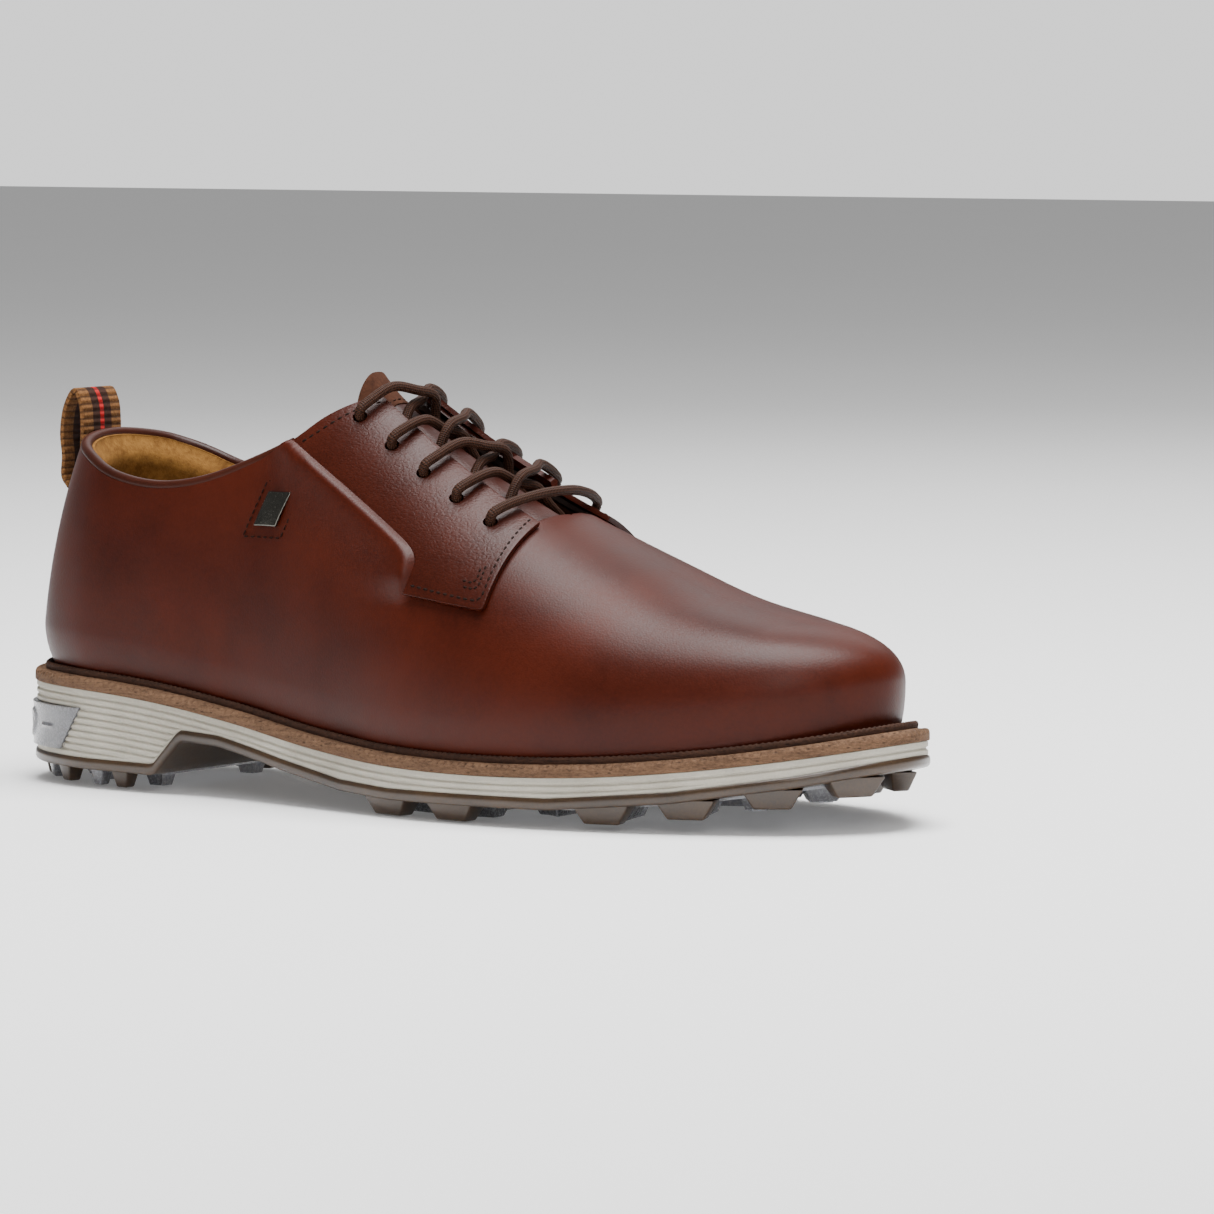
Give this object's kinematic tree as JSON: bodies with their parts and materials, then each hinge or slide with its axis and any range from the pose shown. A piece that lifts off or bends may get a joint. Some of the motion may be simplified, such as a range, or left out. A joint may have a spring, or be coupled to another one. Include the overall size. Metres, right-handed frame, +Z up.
{
  "type": "golf shoe",
  "caption": "Lace-up leather golf shoe for the right foot, with a stacked welt, grooved foam midsole, studded rubber outsole, heel clip, tongue and heel pull loop.",
  "frame": {"origin": "on the ground under the middle of the shoe's bounding box", "axes": "+X to the toe, +Y to the inner (medial) side, +Z up"},
  "size_m": [0.2994, 0.1048, 0.1196],
  "materials": {
    "upper_leather": "smooth waxed full-grain, satin",
    "facing_leather": "milled full-grain, satin",
    "nubuck": "brushed, matt",
    "microfibre": "brushed suede microfibre, matt",
    "welt_leather": "raw stacked leather edge, matt",
    "foam_rubber": "moulded foam with fine ribs, matt",
    "gum_rubber": "translucent gum rubber, satin",
    "clear_tpu": "translucent grey TPU, satin",
    "insole_board": "pressed fibre board, matt",
    "collar_foam": "open-cell foam, matt",
    "stiffener": "non-woven thermoplastic sheet, matt",
    "spring_steel": "cold-rolled, satin",
    "badge_metal": "dark gunmetal plating, gloss",
    "lace_cord": "waxed round braid, satin",
    "webbing": "ribbed woven tape, matt"
  },
  "bodies": {
    "rear_shoe": {"badge": "badge_metal", "collar_binding": "upper_leather", "collar_foam": "collar_foam", "facing_backer_lateral": "stiffener", "facing_backer_medial": "stiffener", "facing_lateral": "facing_leather", "facing_lining_lateral": "microfibre", "facing_lining_medial": "microfibre", "facing_medial": "facing_leather", "heel_clip": "clear_tpu", "heel_counter": "stiffener", "insole_board_rear": "insole_board", "lace": "lace_cord", "lining_flex_panel": "microfibre", "lining_rear": "microfibre", "midsole_rear": "foam_rubber", "outsole_rear": "gum_rubber", "quarters": "upper_leather", "shank": "spring_steel", "sock_liner_rear": "microfibre", "stud_plate_ball": "clear_tpu", "stud_plate_heel": "clear_tpu", "vamp_flex_panel": "upper_leather", "welt_rear": "welt_leather"},
    "forefoot": {"outsole_front": "gum_rubber", "stud_plate_toe": "clear_tpu", "midsole_front": "foam_rubber", "welt_front": "welt_leather", "insole_board_front": "insole_board", "sock_liner_front": "microfibre", "vamp": "upper_leather", "toe_puff": "stiffener", "lining_front": "microfibre"},
    "tongue_flap": {"tongue": "facing_leather", "tongue_band": "nubuck"},
    "heel_loop": {"pull_loop": "webbing"}
  },
  "joints": [
    {"name": "forefoot_flex", "type": "hinge", "parent": "rear_shoe", "child": "forefoot", "pos_m": [0.0554, 0, 0.01701], "axis": [0, -1, 0], "range_deg": [0, 25], "stiffness_Nm_per_rad": 3, "deforming": ["vamp_flex_panel", "lining_flex_panel"]},
    {"name": "tongue_bend", "type": "hinge", "parent": "rear_shoe", "child": "tongue_flap", "pos_m": [0.04371, 0, 0.06905], "axis": [0, -1, 0], "range_deg": [0, 8], "stiffness_Nm_per_rad": 0.05},
    {"name": "loop_fold", "type": "hinge", "parent": "rear_shoe", "child": "heel_loop", "pos_m": [-0.13909, 0, 0.084], "axis": [0, -1, 0], "range_deg": [0, 70], "stiffness_Nm_per_rad": 0.02}
  ]
}
